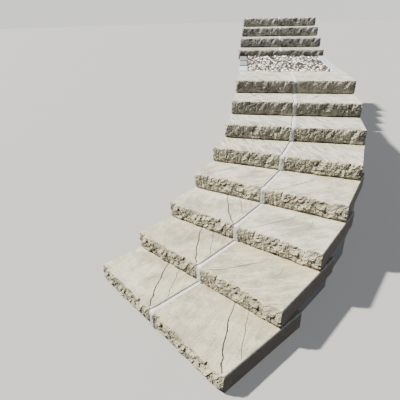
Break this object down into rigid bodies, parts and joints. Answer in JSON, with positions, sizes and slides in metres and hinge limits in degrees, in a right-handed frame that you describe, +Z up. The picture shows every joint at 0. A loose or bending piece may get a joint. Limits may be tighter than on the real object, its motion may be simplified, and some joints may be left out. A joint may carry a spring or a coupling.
{
  "type": "outdoor stone steps",
  "caption": "Curved flight of cast-stone block steps with rock-faced risers, a kerbed gravel landing and a straight upper flight.",
  "frame": {"origin": "middle of the underside of the bottom step, at the joint between its two blocks", "axes": "+Y the way the straight upper flight climbs, +X to the right of someone going up it, +Z up"},
  "size_m": [1.9996, 6.5474, 1.56],
  "materials": {
    "cast_stone": "smooth cast top and sides, rock-faced front",
    "mortar": "trowelled, rough",
    "kerb_concrete": "smooth cast, worn",
    "gravel": "loose rounded pebbles",
    "foundation_concrete": "board-marked"
  },
  "bodies": {
    "root": {"landing_foundation": "foundation_concrete", "landing_gravel": "gravel", "landing_left_kerb_1": "kerb_concrete", "landing_left_kerb_2": "kerb_concrete", "landing_left_kerb_3": "kerb_concrete", "landing_right_kerb_1": "kerb_concrete", "landing_right_kerb_2": "kerb_concrete", "lower_flight_foundation": "foundation_concrete", "step_01_left_block": "cast_stone", "step_01_mortar": "mortar", "step_01_right_block": "cast_stone", "step_02_left_block": "cast_stone", "step_02_mortar": "mortar", "step_02_right_block": "cast_stone", "step_03_left_block": "cast_stone", "step_03_mortar": "mortar", "step_03_right_block": "cast_stone", "step_04_left_block": "cast_stone", "step_04_mortar": "mortar", "step_04_right_block": "cast_stone", "step_05_left_block": "cast_stone", "step_05_mortar": "mortar", "step_05_right_block": "cast_stone", "step_06_left_block": "cast_stone", "step_06_mortar": "mortar", "step_06_right_block": "cast_stone", "step_07_left_block": "cast_stone", "step_07_mortar": "mortar", "step_07_right_block": "cast_stone", "step_08_left_block": "cast_stone", "step_08_mortar": "mortar", "step_08_right_block": "cast_stone", "step_09_left_block": "cast_stone", "step_09_mortar": "mortar", "step_09_right_block": "cast_stone", "step_10_left_block": "cast_stone", "step_10_mortar": "mortar", "step_10_right_block": "cast_stone", "step_11_left_block": "cast_stone", "step_11_mortar": "mortar", "step_11_right_block": "cast_stone", "step_12_left_block": "cast_stone", "step_12_mortar": "mortar", "step_12_right_block": "cast_stone", "upper_flight_foundation": "foundation_concrete"}
  },
  "joints": []
}
